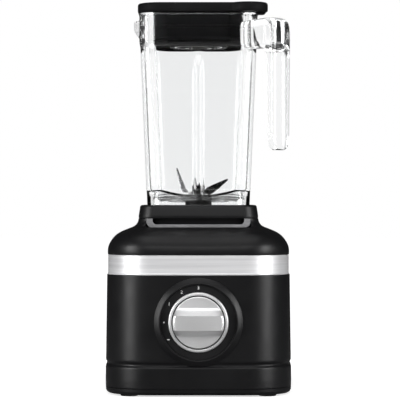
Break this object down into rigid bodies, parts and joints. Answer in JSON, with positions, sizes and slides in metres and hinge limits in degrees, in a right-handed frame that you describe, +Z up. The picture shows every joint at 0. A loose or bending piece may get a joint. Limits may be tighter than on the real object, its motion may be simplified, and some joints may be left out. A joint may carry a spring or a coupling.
{
  "type": "countertop blender",
  "caption": "Countertop blender: black motor base with a silver band and rotary dial, clear square jar with a corner handle, black lid and a clear centre cap.",
  "frame": {"origin": "on the motor axis, in the plane that the feet stand on", "axes": "+Z up along the motor axis, dial facing -Y"},
  "size_m": [0.1916, 0.2114, 0.4],
  "materials": {
    "body_black": "satin black moulding",
    "inner_black": "plain black moulding",
    "silver_trim": "fine brushed silver",
    "silver_dial": "satin silver",
    "grey_rubber": "matt grey",
    "black_rubber": "matt black",
    "clear_jar": "clear polished",
    "blade_steel": "ground stainless",
    "steel": "turned steel",
    "zinc_steel": "zinc plated",
    "laminations": "stacked sheet steel",
    "copper": "enamelled copper",
    "carbon": "pressed carbon",
    "board_green": "lacquered board",
    "white_nylon": "natural nylon",
    "bronze": "sintered bronze"
  },
  "bodies": {
    "base": {"base_housing": "body_black", "base_plate": "body_black", "rubber_feet": "black_rubber", "base_screws": "zinc_steel", "trim_band": "silver_trim", "shoulder_cover": "body_black", "jar_seat_pad": "grey_rubber", "cord_inlet": "black_rubber", "dial_bezel": "body_black", "dial_plate": "inner_black", "dial_trim_ring": "silver_dial", "rotary_switch": "inner_black", "control_board": "board_green", "board_parts": "inner_black", "upper_motor_bracket": "zinc_steel", "lower_motor_bracket": "zinc_steel", "stator_core": "laminations", "field_coils": "copper", "brush_holders": "bronze", "carbon_brushes": "carbon", "upper_bearing": "bronze", "lower_bearing": "bronze", "motor_bushes": "black_rubber", "motor_bolts": "zinc_steel", "through_bolts": "zinc_steel"},
    "rotor": {"motor_shaft": "steel", "armature_core": "laminations", "armature_windings": "copper", "commutator": "copper", "cooling_fan": "white_nylon", "drive_coupler": "inner_black"},
    "knob": {"dial_knob": "silver_dial", "switch_spindle": "white_nylon"},
    "jar": {"jar": "clear_jar", "jar_handle": "clear_jar", "pour_spout": "clear_jar", "jar_collar": "body_black", "blade_housing": "inner_black", "jar_gasket": "grey_rubber", "blade_bushes": "bronze", "shaft_seal": "black_rubber"},
    "blades": {"lower_blade": "blade_steel", "upper_blade": "blade_steel", "blade_shaft": "steel", "blade_nut": "blade_steel", "jar_coupler": "inner_black"},
    "lid": {"lid": "black_rubber", "lid_plug": "black_rubber", "lid_well": "black_rubber", "lid_seals": "black_rubber"},
    "cap": {"centre_cap": "clear_jar"}
  },
  "joints": [
    {"name": "motor_spin", "type": "hinge", "parent": "base", "child": "rotor", "pos_m": [0, 0, 0.1], "axis": [0, 0, 1], "continuous": true},
    {"name": "knob_turn", "type": "hinge", "parent": "base", "child": "knob", "pos_m": [0, -0.1, 0.0755], "axis": [0, 1, 0], "range_deg": [-30, 90]},
    {"name": "jar_lift", "type": "slide", "parent": "base", "child": "jar", "axis": [0, 0, 1], "range_m": [0, 0.06]},
    {"name": "blade_spin", "type": "hinge", "parent": "jar", "child": "blades", "pos_m": [0, 0, 0.2], "axis": [0, 0, 1], "continuous": true},
    {"name": "lid_lift", "type": "slide", "parent": "jar", "child": "lid", "axis": [0, 0, 1], "range_m": [0, 0.06]},
    {"name": "cap_lift", "type": "slide", "parent": "lid", "child": "cap", "axis": [0, 0, 1], "range_m": [0, 0.055]}
  ],
  "couplings": [
    {"joint": "blade_spin", "follows": "motor_spin", "ratio": 1}
  ]
}
